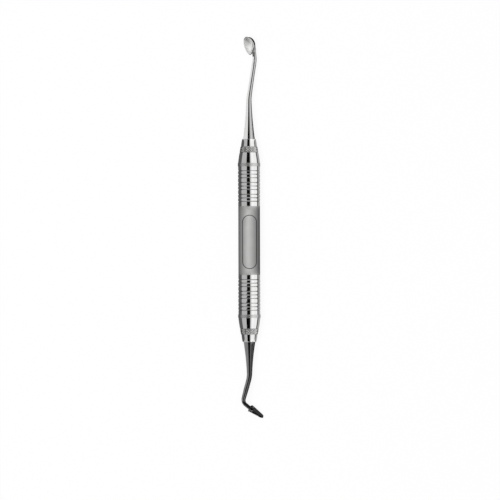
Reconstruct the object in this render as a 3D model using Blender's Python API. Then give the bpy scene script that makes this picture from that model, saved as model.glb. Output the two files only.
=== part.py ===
"""Double-ended bone curette: a turned handle with a spoon at one end and a cross-cut file at the other.

The handle's axis is X, the spoon is at +X and the file at -X. The instrument lies as it comes to rest, on the
handle's two collars and the toe of the file, with the ground at z = 0 and the middle of its box at x = y = 0.
Both working ends are bent in one plane, the bending plane, which holds the handle's axis.
"""

import math

import bmesh
import bpy
from mathutils import Matrix, Vector

MM = 0.001
CLOSE = 0.001 * MM

# Clearances between pieces
FIT = 0.3 * MM

# Handle
HANDLE_LENGTH = 88.8 * MM
GRIP_DIAMETER = 9.5 * MM
HANDLE_BORE = 7.5 * MM
HANDLE_SIDES = 36
COLLAR_DIAMETER = 9.86 * MM
COLLAR_WIDTH = 1.42 * MM
COLLAR_ROUND = 0.12 * MM

# Beads and grooves: inside each collar lie three groups with lands between them, each of three grooves and two
# beads. The satin band in the middle of the handle takes the length that is left.
GROUP_COUNT = 3
LAND_WIDTH = 1.79 * MM
BAND_LAND_WIDTH = 1.86 * MM
GROOVE_PITCH = 1.55 * MM
GROOVE_DEPTH = 0.24 * MM
GROOVE_FLOOR = 0.16 * MM
GROOVE_FLANK = 0.14 * MM
BEAD_PROUD = 0.07 * MM
BEAD_SHOULDER = math.radians(50)
LAND_PROUD = 0.06 * MM

# Nose: a swelling cone, a knurled band and a plain muzzle
CONE_LENGTH = 4.61 * MM
CONE_END_DIAMETER = 8.24 * MM
CONE_SWELL = 0.05 * MM
CONE_ROWS = 3
KNURL_WIDTH = 2.75 * MM
KNURL_BIG_DIAMETER = 8.30 * MM
KNURL_SMALL_DIAMETER = 7.42 * MM
KNURL_DEPTH = 0.24 * MM
KNURL_ROWS = 5
MUZZLE_LENGTH = 3.2 * MM
MUZZLE_BIG_DIAMETER = 6.96 * MM
MUZZLE_SWELL = 0.06 * MM
MUZZLE_ROWS = 2
MOUTH_DIAMETER = 5.76 * MM
MOUTH_ROUND = 0.16 * MM

# Tangs, turned down from the shanks and held in the handle's sockets
TANG_DIAMETER = 4.2 * MM
TANG_LENGTH = 11.5 * MM
SOCKET_LENGTH = 12.5 * MM
SHANK_DIAMETER = 5.1 * MM
SHANK_SIDES = 16
SHANK_STEP = 2.2 * MM
BEND_STEP_ANGLE = math.radians(12)

# Spoon end: the shank's taper and bends, in the order that they leave the handle
SPOON_TAPER_LENGTH = 30.0 * MM
SPOON_TAPER_POWER = 2.5
SPOON_SHANK_THIN = 1.85 * MM
SPOON_NECK = 1.6 * MM
SPOON_ROOT = 2.2 * MM
SPOON_STRAIGHT_1 = 15.9 * MM
SPOON_BEND_1 = math.radians(10.8)
SPOON_BEND_1_RADIUS = 16.0 * MM
SPOON_STRAIGHT_2 = 15.2 * MM
SPOON_BEND_2 = math.radians(16.0)
SPOON_BEND_2_RADIUS = 6.0 * MM
SPOON_STRAIGHT_3 = 2.6 * MM
SPOON_BEND_3 = math.radians(14.0)
SPOON_BEND_3_RADIUS = 9.0 * MM
SPOON_STRAIGHT_4 = 1.6 * MM

# Spoon bowl: an egg-shaped shell, open away from the shank
BOWL_LENGTH = 8.1 * MM
BOWL_WIDTH = 5.8 * MM
BOWL_DEPTH = 3.35 * MM
BOWL_EGG = 0.17
BOWL_RIM = 0.22 * MM
BOWL_FLOOR = 0.75 * MM
BOWL_TURN = math.radians(4.7)
BOWL_AHEAD = -0.63 * MM
NECK_SINK = 0.84 * MM
BOWL_SEGMENTS = 28
BOWL_RINGS = 14

# File end: the shank's taper and bends, in the order that they leave the handle
FILE_TAPER_LENGTH = 18.5 * MM
FILE_TAPER_POWER = 2.1
FILE_SHANK_THIN = 2.2 * MM
FILE_NECK = 1.62 * MM
FILE_STRAIGHT_1 = 13.2 * MM
FILE_BEND_1 = math.radians(19.0)
FILE_BEND_1_RADIUS = 11.0 * MM
FILE_STRAIGHT_2 = 7.95 * MM
FILE_BEND_2 = math.radians(74.0)
FILE_BEND_2_RADIUS = 2.3 * MM
FILE_STRAIGHT_3 = 3.3 * MM
FILE_BEND_3 = math.radians(9.9)
FILE_BEND_3_RADIUS = 2.5 * MM
FILE_STRAIGHT_4 = 1.0 * MM
FILE_NECK_LEAD = 4.5 * MM

# File head: flat toothed face, half-round back, tapered to a rounded toe
HEAD_LENGTH = 7.45 * MM
HEAD_WIDTH = 3.15 * MM
HEAD_THICKNESS = 2.85 * MM
TOE_WIDTH = 2.25 * MM
TOE_THICKNESS = 1.2 * MM
TOE_THINNING = 0.1
TOE_ROWS = 3
TOE_LAST_ANGLE = math.radians(80)
HEAD_NECK_SHARE = 0.40
HEAD_BACK_SPRING = 0.51
HEAD_FIRST_TOOTH = 0.65 * MM
TOOTH_PITCH = 0.92 * MM
TOOTH_COUNT = 6
TOOTH_DEPTH = 0.22 * MM
TOOTH_STEEP = 0.18
HEAD_SEGMENTS = 12
FACE_POINTS = 4

# Values that follow from the ones above
HANDLE_HALF = HANDLE_LENGTH / 2
GRIP_RADIUS = GRIP_DIAMETER / 2
SOCKET_RADIUS = TANG_DIAMETER / 2 + FIT
KNURL_OUT_X = HANDLE_HALF - MUZZLE_LENGTH
KNURL_IN_X = KNURL_OUT_X - KNURL_WIDTH
COLLAR_OUT_X = KNURL_IN_X - CONE_LENGTH
COLLAR_IN_X = COLLAR_OUT_X - COLLAR_WIDTH
GROUP_HALF = GROOVE_PITCH + GROOVE_FLANK
GROUP_PITCH = 2 * GROUP_HALF + LAND_WIDTH
FIRST_GROUP_X = COLLAR_IN_X - LAND_WIDTH - GROUP_HALF - (GROUP_COUNT - 1) * GROUP_PITCH
SATIN_BAND_HALF = FIRST_GROUP_X - GROUP_HALF - BAND_LAND_WIDTH


def clear_scene():
    for obj in list(bpy.data.objects):
        bpy.data.objects.remove(obj, do_unlink=True)


def make_material(name, color, roughness, metallic):
    material = bpy.data.materials.new(name)
    material.use_nodes = True
    shader = material.node_tree.nodes["Principled BSDF"]
    shader.inputs["Base Color"].default_value = (*color, 1.0)
    shader.inputs["Roughness"].default_value = roughness
    shader.inputs["Metallic"].default_value = metallic
    material.diffuse_color = (*color, 1.0)
    return material


def object_from_bmesh(name, mesh_data, material, crease_angle=math.radians(35)):
    bmesh.ops.recalc_face_normals(mesh_data, faces=mesh_data.faces)
    mesh = bpy.data.meshes.new(name)
    mesh_data.to_mesh(mesh)
    mesh_data.free()
    mesh.materials.append(material)
    mesh.shade_smooth()
    mesh.set_sharp_from_angle(angle=crease_angle)
    obj = bpy.data.objects.new(name, mesh)
    bpy.context.scene.collection.objects.link(obj)
    return obj


def add_boolean(obj, name, tool, operation):
    modifier = obj.modifiers.new(name, "BOOLEAN")
    modifier.operation = operation
    modifier.object = tool
    modifier.solver = "EXACT"
    tool.hide_render = True
    tool.display_type = "WIRE"


# Handle


def between(start, end, share):
    return start + (end - start) * share


def bead_rows(start, end, foot, crest):
    """A round bead between two groove floors: a low arc of three rows."""
    middle = (start + end) / 2
    half = (end - start) / 2
    rows = []
    for turn in (-1, 0, 1):
        angle = turn * BEAD_SHOULDER
        rows.append((middle + half * math.sin(angle), foot + (crest - foot) * math.sqrt(math.cos(angle))))
    return rows


def group_rows(centre):
    """Three grooves and the two beads between them, seen from the middle of the handle outwards."""
    floor = GRIP_RADIUS - GROOVE_DEPTH
    crest = GRIP_RADIUS + BEAD_PROUD
    rows = [(centre - GROUP_HALF, GRIP_RADIUS)]
    for index in (-1, 0, 1):
        groove = centre + index * GROOVE_PITCH
        rows.append((groove, floor))
        if index < 1:
            rows += bead_rows(groove + GROOVE_FLOOR / 2, groove + GROOVE_PITCH - GROOVE_FLOOR / 2, floor, crest)
    rows.append((centre + GROUP_HALF, GRIP_RADIUS))
    return rows


def grooved_rows():
    rows = [(SATIN_BAND_HALF, GRIP_RADIUS)]
    for index in range(GROUP_COUNT):
        centre = FIRST_GROUP_X + index * GROUP_PITCH
        rows += group_rows(centre)
        if index < GROUP_COUNT - 1:
            rows.append((centre + GROUP_PITCH / 2, GRIP_RADIUS + LAND_PROUD))
    return rows


def collar_rows():
    radius = COLLAR_DIAMETER / 2
    return [
        (COLLAR_IN_X, GRIP_RADIUS),
        (COLLAR_IN_X, radius - COLLAR_ROUND),
        (COLLAR_IN_X + COLLAR_ROUND, radius),
        (COLLAR_OUT_X - COLLAR_ROUND, radius),
        (COLLAR_OUT_X, radius - COLLAR_ROUND),
    ]


def nose_rows():
    """Cone, knurled band and muzzle. The knurl's own rows are found again by knurl_row_places."""
    cone_start = COLLAR_DIAMETER / 2 - COLLAR_ROUND
    cone_end = CONE_END_DIAMETER / 2
    rows = []
    for index in range(CONE_ROWS):
        share = (index + 1) / CONE_ROWS
        swell = CONE_SWELL * math.sin(math.pi * share)
        rows.append((between(COLLAR_OUT_X, KNURL_IN_X, share), between(cone_start, cone_end, share) + swell))
    rows.append((KNURL_IN_X, KNURL_BIG_DIAMETER / 2 - KNURL_DEPTH))
    rows += knurl_row_places()
    rows.append((KNURL_OUT_X, KNURL_SMALL_DIAMETER / 2 - KNURL_DEPTH))
    mouth = MOUTH_DIAMETER / 2
    muzzle_end = HANDLE_HALF - MOUTH_ROUND
    for index in range(MUZZLE_ROWS):
        share = (index + 1) / MUZZLE_ROWS
        swell = MUZZLE_SWELL * math.sin(math.pi * share)
        radius = between(MUZZLE_BIG_DIAMETER / 2, mouth + MOUTH_ROUND, share) + swell
        rows.append((between(KNURL_OUT_X, muzzle_end, share), radius))
    rows.append((HANDLE_HALF, mouth))
    return rows


def knurl_row_places():
    """Where the knurl's rows of diamond points stand, and the radius of their tips."""
    places = []
    for index in range(KNURL_ROWS):
        share = (index + 0.5) / KNURL_ROWS
        place = between(KNURL_IN_X, KNURL_OUT_X, share)
        crest = between(KNURL_BIG_DIAMETER / 2, KNURL_SMALL_DIAMETER / 2, share)
        places.append((place, crest))
    return places


def bore_rows():
    """The bore from its middle to the mouth: a wide part, a short cone and the socket."""
    socket_end = HANDLE_HALF - SOCKET_LENGTH
    return [
        (socket_end - (HANDLE_BORE / 2 - SOCKET_RADIUS), HANDLE_BORE / 2),
        (socket_end, SOCKET_RADIUS),
        (HANDLE_HALF, SOCKET_RADIUS),
    ]


def mirrored(rows):
    return [(-x, radius) for x, radius in reversed(rows)]


def make_handle(material):
    outer = grooved_rows() + collar_rows() + nose_rows()
    inner = bore_rows()
    loop = mirrored(outer) + outer + list(reversed(inner)) + list(reversed(mirrored(inner)))
    handle = bmesh.new()
    # Half a step of turn first, so that a flat of the collars meets the ground
    start = Matrix.Rotation(math.pi / HANDLE_SIDES, 3, "X")
    verts = [handle.verts.new(start @ Vector((x, 0.0, radius))) for x, radius in loop]
    edges = [handle.edges.new((verts[i], verts[(i + 1) % len(verts)])) for i in range(len(verts))]
    bmesh.ops.spin(
        handle,
        geom=verts + edges,
        cent=(0, 0, 0),
        axis=(1, 0, 0),
        angle=2 * math.pi,
        steps=HANDLE_SIDES,
        use_merge=True,
    )
    bmesh.ops.remove_doubles(handle, verts=handle.verts, dist=CLOSE)
    cut_knurls(handle)
    return object_from_bmesh("handle", handle, material)


def cut_knurls(handle):
    """Push every second point of each knurl row in, like a diamond knurl."""
    places = [place for place, _ in knurl_row_places()]
    half_turn = math.pi / HANDLE_SIDES
    for vert in handle.verts:
        radius = math.hypot(vert.co.y, vert.co.z)
        near = min(range(KNURL_ROWS), key=lambda index: abs(abs(vert.co.x) - places[index]))
        if abs(abs(vert.co.x) - places[near]) > CLOSE or radius < SOCKET_RADIUS + FIT:
            continue
        column = round((math.atan2(vert.co.z, vert.co.y) - half_turn) / (2 * half_turn))
        if (near + column) % 2:
            vert.co.y *= (radius - KNURL_DEPTH) / radius
            vert.co.z *= (radius - KNURL_DEPTH) / radius


# Shanks


class BentPath:
    """A centreline in the bending plane, made of straights and turns, with the length run so far at each point."""

    def __init__(self, x, offset, heading, direction):
        self.direction = direction
        self.point = Vector((x, offset))
        self.heading = heading
        self.length = 0.0
        self.stations = [self.station()]

    def tangent(self):
        return Vector((self.direction * math.cos(self.heading), math.sin(self.heading)))

    def station(self):
        return (self.length, self.point.copy(), self.tangent())

    def straight(self, distance):
        count = max(1, math.ceil(distance / SHANK_STEP))
        for _ in range(count):
            self.point += self.tangent() * (distance / count)
            self.length += distance / count
            self.stations.append(self.station())

    def turn(self, angle, radius):
        count = max(2, math.ceil(abs(angle) / BEND_STEP_ANGLE))
        part = angle / count
        chord = 2 * radius * math.sin(abs(part) / 2)
        for _ in range(count):
            self.heading += part / 2
            self.point += self.tangent() * chord
            self.heading += part / 2
            self.length += radius * abs(part)
            self.stations.append(self.station())


def taper(run, start, end, length, power):
    share = min(run / length, 1.0)
    return end + (start - end) * (1 - share) ** power


def add_ring(target, point, tangent, radius, sides):
    """A ring of points square to the path. The bending plane is XY here, and offset runs along -Y."""
    across = Vector((-tangent.y, -tangent.x, 0.0))
    upward = Vector((0.0, 0.0, 1.0))
    centre = Vector((point.x, -point.y, 0.0))
    ring = []
    for index in range(sides):
        angle = 2 * math.pi * (index + 0.5) / sides
        ring.append(target.verts.new(centre + (across * math.cos(angle) + upward * math.sin(angle)) * radius))
    return ring


def loft(target, rings):
    """Skin between rings of equal size, and close both ends."""
    for near, far in zip(rings, rings[1:]):
        for index in range(len(near)):
            following = (index + 1) % len(near)
            target.faces.new((near[index], near[following], far[following], far[index]))
    target.faces.new(list(reversed(rings[0])))
    target.faces.new(rings[-1])


def make_shank(name, path, diameter_at, direction, material):
    """Tang, shoulder and shank as one turned and bent bar."""
    bar = bmesh.new()
    shoulder_x = HANDLE_HALF + FIT
    along = Vector((direction, 0.0))
    tang_radius = TANG_DIAMETER / 2
    rings = []
    for x, radius in (
        (shoulder_x - TANG_LENGTH, tang_radius - FIT),
        (shoulder_x - TANG_LENGTH + FIT, tang_radius),
        (shoulder_x, tang_radius),
    ):
        rings.append(add_ring(bar, Vector((direction * x, 0.0)), along, radius, SHANK_SIDES))
    for run, point, tangent in path.stations:
        rings.append(add_ring(bar, point, tangent, diameter_at(run) / 2, SHANK_SIDES))
    loft(bar, rings)
    return object_from_bmesh(name, bar, material)


# Spoon end


def bowl_frame(path):
    """Place and turn of the bowl: its own X runs to the tip, its Z out of the opening, away from the neck's end."""
    _, neck_end, tangent = path.stations[-1]
    along = Matrix.Rotation(BOWL_TURN, 2) @ tangent
    to_back = Vector((-along.y, along.x))
    centre = neck_end + along * BOWL_AHEAD - to_back * (BOWL_DEPTH - NECK_SINK)
    lean = Matrix.Rotation(-math.atan2(along.y, along.x), 4, "Z")
    opening_up = Matrix(((1, 0, 0, 0), (0, 0, 1, 0), (0, -1, 0, 0), (0, 0, 0, 1)))
    return Matrix.Translation((centre.x, -centre.y, 0.0)) @ lean @ opening_up


def egg(point):
    """Widen the tip's half of the bowl and narrow the heel's."""
    share = point.x / (BOWL_LENGTH / 2)
    return Vector((point.x, point.y * (1 + BOWL_EGG * share), point.z))


def make_half_egg(name, length, width, depth, top, place, material):
    """The lower half of an egg-shaped ball, cut flat at the height top."""
    ball = bmesh.new()
    bmesh.ops.create_uvsphere(ball, u_segments=BOWL_SEGMENTS, v_segments=BOWL_RINGS, radius=1.0)
    for vert in ball.verts:
        vert.co = egg(Vector((vert.co.x * length / 2, vert.co.y * width / 2, vert.co.z * depth)))
    cut = bmesh.ops.bisect_plane(
        ball,
        geom=ball.verts[:] + ball.edges[:] + ball.faces[:],
        plane_co=(0, 0, top),
        plane_no=(0, 0, 1),
        clear_outer=True,
        dist=CLOSE,
    )
    rim = [item for item in cut["geom_cut"] if isinstance(item, bmesh.types.BMEdge)]
    bmesh.ops.contextual_create(ball, geom=rim)
    bmesh.ops.transform(ball, matrix=place, verts=ball.verts)
    return object_from_bmesh(name, ball, material)


def spoon_diameter(run):
    """A taper, drawn in further at the neck, which flares again where it runs up the bowl's back."""
    neck_start = SPOON_STRAIGHT_1 + SPOON_BEND_1 * SPOON_BEND_1_RADIUS + SPOON_STRAIGHT_2
    neck_length = SPOON_BEND_2 * SPOON_BEND_2_RADIUS + SPOON_STRAIGHT_3
    root_length = SPOON_BEND_3 * SPOON_BEND_3_RADIUS + SPOON_STRAIGHT_4
    thick = taper(run, SHANK_DIAMETER, SPOON_SHANK_THIN, SPOON_TAPER_LENGTH, SPOON_TAPER_POWER)
    into_neck = min(max((run - neck_start) / neck_length, 0.0), 1.0)
    into_root = max((run - neck_start - neck_length) / root_length, 0.0)
    return between(between(thick, SPOON_NECK, into_neck), SPOON_ROOT, into_root)


def make_spoon_tip(material):
    path = BentPath(HANDLE_HALF + FIT, 0.0, 0.0, 1)
    path.straight(SPOON_STRAIGHT_1)
    path.turn(SPOON_BEND_1, SPOON_BEND_1_RADIUS)
    path.straight(SPOON_STRAIGHT_2)
    path.turn(-SPOON_BEND_2, SPOON_BEND_2_RADIUS)
    path.straight(SPOON_STRAIGHT_3)
    path.turn(-SPOON_BEND_3, SPOON_BEND_3_RADIUS)
    path.straight(SPOON_STRAIGHT_4)
    tip = make_shank("spoon_tip", path, spoon_diameter, 1, material)
    place = bowl_frame(path)
    blank = make_half_egg("spoon_blank", BOWL_LENGTH, BOWL_WIDTH, BOWL_DEPTH, 0.0, place, material)
    hollow = make_half_egg(
        "bowl_cutter",
        BOWL_LENGTH - 2 * BOWL_RIM,
        BOWL_WIDTH - 2 * BOWL_RIM,
        BOWL_DEPTH - BOWL_FLOOR,
        FIT,
        place,
        material,
    )
    add_boolean(tip, "spoon", blank, "UNION")
    add_boolean(tip, "bowl", hollow, "DIFFERENCE")
    return tip, [blank, hollow]


# File end


def head_place(path):
    """Heel of the head's toothed face, and the directions of its length and of that face's outward side."""
    _, point, tangent = path.stations[-1]
    length_way = Vector((tangent.x, -tangent.y, 0.0))
    face_way = Vector((length_way.y, -length_way.x, 0.0))
    if face_way.x > 0:
        face_way.negate()
    neck = Vector((point.x, -point.y, 0.0)) - length_way * FILE_STRAIGHT_4
    return neck + face_way * HEAD_THICKNESS * HEAD_NECK_SHARE, length_way, face_way


def head_size(run):
    """Width and thickness of the head at a distance from its heel, round at the toe."""
    share = run / HEAD_LENGTH
    width = between(HEAD_WIDTH, TOE_WIDTH, share)
    thickness = between(HEAD_THICKNESS, TOE_THICKNESS, share)
    toe_start = HEAD_LENGTH - TOE_WIDTH / 2
    if run > toe_start:
        drop = (run - toe_start) / (TOE_WIDTH / 2)
        narrow = math.sqrt(max(1 - drop**2, 0.0))
        width *= narrow
        thickness *= between(1.0, narrow, TOE_THINNING)
    return width, thickness


def tooth_runs():
    """Where the rows of the head stand, each with the depth of the toothed face there."""
    runs = [(0.0, 0.0)]
    for index in range(TOOTH_COUNT):
        root = HEAD_FIRST_TOOTH + index * TOOTH_PITCH
        runs.append((root - TOOTH_PITCH * TOOTH_STEEP, 0.0))
        runs.append((root, TOOTH_DEPTH))
    for index in range(TOE_ROWS + 1):
        angle = TOE_LAST_ANGLE * index / TOE_ROWS
        runs.append((HEAD_LENGTH - TOE_WIDTH / 2 * (1 - math.sin(angle)), 0.0))
    return runs


def make_file_head(path, material):
    heel, length_way, face_way = head_place(path)
    side_way = Vector((0.0, 0.0, 1.0))
    head = bmesh.new()
    rings = []
    for run, depth in tooth_runs():
        width, thickness = head_size(run)
        back_centre = thickness * HEAD_BACK_SPRING
        ring = []
        for index in range(HEAD_SEGMENTS + 1):
            angle = math.pi * index / HEAD_SEGMENTS
            back = back_centre + (thickness - back_centre) * math.sin(angle)
            ring.append((math.cos(angle) * width / 2, back))
        for index in range(FACE_POINTS):
            ring.append((between(-width / 2, width / 2, index / (FACE_POINTS - 1)), depth))
        rings.append(
            [
                head.verts.new(heel + length_way * run + side_way * side - face_way * back)
                for side, back in ring
            ]
        )
    loft(head, rings)
    return object_from_bmesh("head_blank", head, material, crease_angle=math.radians(25))


def file_diameter(run):
    thick = taper(run, SHANK_DIAMETER, FILE_SHANK_THIN, FILE_TAPER_LENGTH, FILE_TAPER_POWER)
    knee = FILE_STRAIGHT_1 + FILE_BEND_1 * FILE_BEND_1_RADIUS + FILE_STRAIGHT_2
    start = knee - FILE_NECK_LEAD
    share = min(max((run - start) / (FILE_NECK_LEAD + FILE_BEND_2 * FILE_BEND_2_RADIUS), 0.0), 1.0)
    return between(thick, FILE_NECK, share)


def make_file_tip(material):
    path = BentPath(-(HANDLE_HALF + FIT), 0.0, 0.0, -1)
    path.straight(FILE_STRAIGHT_1)
    path.turn(-FILE_BEND_1, FILE_BEND_1_RADIUS)
    path.straight(FILE_STRAIGHT_2)
    path.turn(FILE_BEND_2, FILE_BEND_2_RADIUS)
    path.straight(FILE_STRAIGHT_3)
    path.turn(FILE_BEND_3, FILE_BEND_3_RADIUS)
    path.straight(FILE_STRAIGHT_4)
    tip = make_shank("file_tip", path, file_diameter, -1, material)
    head = make_file_head(path, material)
    add_boolean(tip, "head", head, "UNION")
    return tip, [head]


# Rest and placing


def rest_tilt(head, ground_radius):
    """Tilt of the bending plane about the handle's axis at which the file's toe meets the ground."""
    tilts = []
    for vert in head.data.vertices:
        radius = math.hypot(vert.co.y, vert.co.z)
        if radius > ground_radius:
            below = math.atan2(-vert.co.z, -vert.co.y)
            tilts.append(math.asin(ground_radius / radius) - below)
    return min(tilts)


def world_box(objects):
    bpy.context.view_layer.update()
    graph = bpy.context.evaluated_depsgraph_get()
    points = []
    for obj in objects:
        evaluated = obj.evaluated_get(graph)
        points += [evaluated.matrix_world @ vert.co for vert in evaluated.data.vertices]
    low = Vector([min(point[axis] for point in points) for axis in range(3)])
    high = Vector([max(point[axis] for point in points) for axis in range(3)])
    return low, high


def make_empty(name, parent):
    empty = bpy.data.objects.new(name, None)
    bpy.context.scene.collection.objects.link(empty)
    empty.parent = parent
    return empty


def main():
    clear_scene()
    bright_steel = make_material("bright_steel", (0.72, 0.72, 0.71), 0.18, 1.0)
    polished_steel = make_material("polished_steel", (0.70, 0.70, 0.69), 0.14, 1.0)
    black_coating = make_material("black_coating", (0.035, 0.035, 0.037), 0.32, 0.85)

    instrument = make_empty("instrument", None)
    bending_plane = make_empty("bending_plane", instrument)
    handle = make_handle(bright_steel)
    handle.parent = instrument
    spoon_tip, spoon_tools = make_spoon_tip(polished_steel)
    file_tip, file_tools = make_file_tip(black_coating)
    for obj in [spoon_tip, file_tip] + spoon_tools + file_tools:
        obj.parent = bending_plane

    ground_radius = COLLAR_DIAMETER / 2 * math.cos(math.pi / HANDLE_SIDES)
    bending_plane.rotation_euler.x = rest_tilt(file_tools[0], ground_radius)
    low, high = world_box([handle, spoon_tip, file_tip])
    instrument.location = (-(low.x + high.x) / 2, -(low.y + high.y) / 2, ground_radius)


main()
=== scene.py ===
"""The looks of a double-ended bone curette: polished and blasted steel handle, polished spoon, black file.

The script goes from the camera and the room to the handle, its mark, the spoon and the file. Each piece is
drawn about the handle's axis, with the middle of the handle at the origin, and then settled in its place.
"""

import math

import bmesh
import bpy
from mathutils import Matrix, Vector


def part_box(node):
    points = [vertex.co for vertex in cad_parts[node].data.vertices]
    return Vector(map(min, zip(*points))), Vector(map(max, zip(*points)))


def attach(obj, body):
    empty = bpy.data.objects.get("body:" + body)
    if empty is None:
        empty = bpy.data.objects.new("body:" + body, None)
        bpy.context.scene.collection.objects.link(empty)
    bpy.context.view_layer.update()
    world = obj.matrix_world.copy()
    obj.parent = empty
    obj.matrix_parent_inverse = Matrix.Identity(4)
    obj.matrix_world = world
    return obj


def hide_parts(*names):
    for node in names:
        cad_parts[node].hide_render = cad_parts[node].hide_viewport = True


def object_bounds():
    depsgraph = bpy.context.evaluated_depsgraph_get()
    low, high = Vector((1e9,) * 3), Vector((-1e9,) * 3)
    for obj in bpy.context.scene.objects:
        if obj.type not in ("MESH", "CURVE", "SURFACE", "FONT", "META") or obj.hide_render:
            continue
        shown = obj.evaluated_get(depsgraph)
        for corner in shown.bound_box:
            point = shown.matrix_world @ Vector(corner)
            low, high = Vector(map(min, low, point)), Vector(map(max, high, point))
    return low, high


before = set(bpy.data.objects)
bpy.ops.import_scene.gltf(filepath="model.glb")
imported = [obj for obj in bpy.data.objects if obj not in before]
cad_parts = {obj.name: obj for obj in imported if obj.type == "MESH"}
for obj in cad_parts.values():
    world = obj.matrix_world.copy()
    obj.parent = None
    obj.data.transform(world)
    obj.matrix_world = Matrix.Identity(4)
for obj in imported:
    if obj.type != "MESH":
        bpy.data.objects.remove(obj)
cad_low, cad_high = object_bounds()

# Camera: it looks straight down on the instrument, which lies with its spoon at the top of the picture. The
# picture leans by a seventh of a degree, and the instrument lies a little above its middle.
MM = 0.001
handle_low, handle_high = (Vector(corner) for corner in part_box("handle"))
HANDLE_MIDDLE = (handle_low + handle_high) / 2
PICTURE_WIDTH = 218.9 * MM
PICTURE_LEAN = math.radians(0.1375)
PICTURE_RIGHT = 0.35 * MM
PICTURE_DOWN = 4.16 * MM
CAMERA_HEIGHT = 1.5
CAMERA_SEES_TO = 10.0
SENSOR_MM = 36.0

to_right = Vector((-math.sin(PICTURE_LEAN), -math.cos(PICTURE_LEAN), 0.0))
to_top = Vector((math.cos(PICTURE_LEAN), -math.sin(PICTURE_LEAN), 0.0))
above = HANDLE_MIDDLE + to_right * PICTURE_RIGHT - to_top * PICTURE_DOWN + Vector((0.0, 0.0, CAMERA_HEIGHT))
bpy.ops.object.camera_add(location=above, rotation=(0.0, 0.0, -math.pi / 2 - PICTURE_LEAN))
camera = bpy.context.object
camera.data.sensor_width = SENSOR_MM
camera.data.lens = SENSOR_MM * CAMERA_HEIGHT / PICTURE_WIDTH
camera.data.clip_end = CAMERA_SEES_TO
bpy.context.scene.camera = camera
bpy.context.scene.view_settings.view_transform = "Standard"

# Floor: a plain sheet of white card, far larger than the view. The camera sees it mostly as plain white,
# with a little of the instrument's shadow.
FLOOR_SIDE = 6.0
FLOOR_WHITE = (0.97, 0.97, 0.97, 1.0)
FLOOR_PLAIN_SHARE = 0.88


def new_material(name):
    """An empty material, the tree to fill and its output."""
    material = bpy.data.materials.new(name)
    material.use_nodes = True
    tree = material.node_tree
    tree.nodes.clear()
    return material, tree, tree.nodes.new("ShaderNodeOutputMaterial")


def add_node(tree, kind, values=None, **settings):
    """A node with its settings, and with a plain value or a link for each socket that is named."""
    node = tree.nodes.new(kind)
    for key, value in settings.items():
        setattr(node, key, value)
    for key, value in (values or {}).items():
        if isinstance(value, bpy.types.NodeSocket):
            tree.links.new(value, node.inputs[key])
        else:
            node.inputs[key].default_value = value
    return node


def maths(tree, operation, first, second=0.0, third=0.0):
    """The result of one Math node."""
    return add_node(tree, "ShaderNodeMath", {0: first, 1: second, 2: third}, operation=operation).outputs[0]


bpy.ops.object.select_all(action="DESELECT")
bpy.ops.mesh.primitive_plane_add(size=FLOOR_SIDE)
floor = bpy.context.object
floor.name = "floor"
white_card, tree, output = new_material("white_card")
card = add_node(tree, "ShaderNodeBsdfDiffuse", {"Color": FLOOR_WHITE})
plain_white = add_node(tree, "ShaderNodeEmission", {"Strength": 1.0})
rays = add_node(tree, "ShaderNodeLightPath")
share = maths(tree, "MULTIPLY", rays.outputs["Is Camera Ray"], FLOOR_PLAIN_SHARE)
card = add_node(tree, "ShaderNodeMixShader", {0: share, 1: card.outputs[0], 2: plain_white.outputs[0]})
tree.links.new(card.outputs[0], output.inputs["Surface"])
floor.data.materials.append(white_card)

# Room: long soft boxes run beside the instrument, with a narrow black strip over it. Each stop gives an angle
# about the handle's axis in degrees, clockwise from overhead as seen from the file end, and the brightness
# that polish shows.
ROOM_BANDS = (
    (-180, 0.9),
    (-92, 0.9),
    (-90, 1.04),
    (-12, 1.04),
    (-8, 0.25),
    (14, 0.25),
    (32, 0.72),
    (52, 0.88),
    (68, 0.84),
    (84, 0.4),
    (180, 0.2),
)
STRIP_BANDS = ((-180, 0), (-26, 0), (-23, 1), (10, 1), (13, 0), (180, 0))
STRIP_REACH = (0.44, 0.54)
STRIP_BLACK = (0.004, 0.004, 0.004, 1.0)
ROOM_AMBIENT = 0.30


def spread(tree, value, low, high, start=0.0, end=1.0):
    """Maps the range start to end onto low to high."""
    return add_node(tree, "ShaderNodeMapRange", {0: value, 1: start, 2: end, 3: low, 4: high}).outputs[0]


def grey_ramp(tree, value, stops):
    """Brightness that goes evenly from one stop (value, brightness) to the next."""
    start, end = stops[0][0], stops[-1][0]
    ramp = add_node(tree, "ShaderNodeValToRGB", {"Fac": spread(tree, value, 0.0, 1.0, start, end)})
    elements = ramp.color_ramp.elements
    while len(elements) < len(stops):
        elements.new(0.5)
    for element, (at, brightness) in zip(elements, stops):
        element.position = (at - start) / (end - start)
        element.color = (brightness, brightness, brightness, 1.0)
    return ramp.outputs["Color"]


def degrees_about_x(tree, parts):
    """Degrees about the X axis, from overhead towards -Y, of a vector that has been taken apart."""
    backwards = maths(tree, "MULTIPLY", parts.outputs["Y"], -1.0)
    return maths(tree, "DEGREES", maths(tree, "ARCTAN2", backwards, parts.outputs["Z"]))


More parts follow.
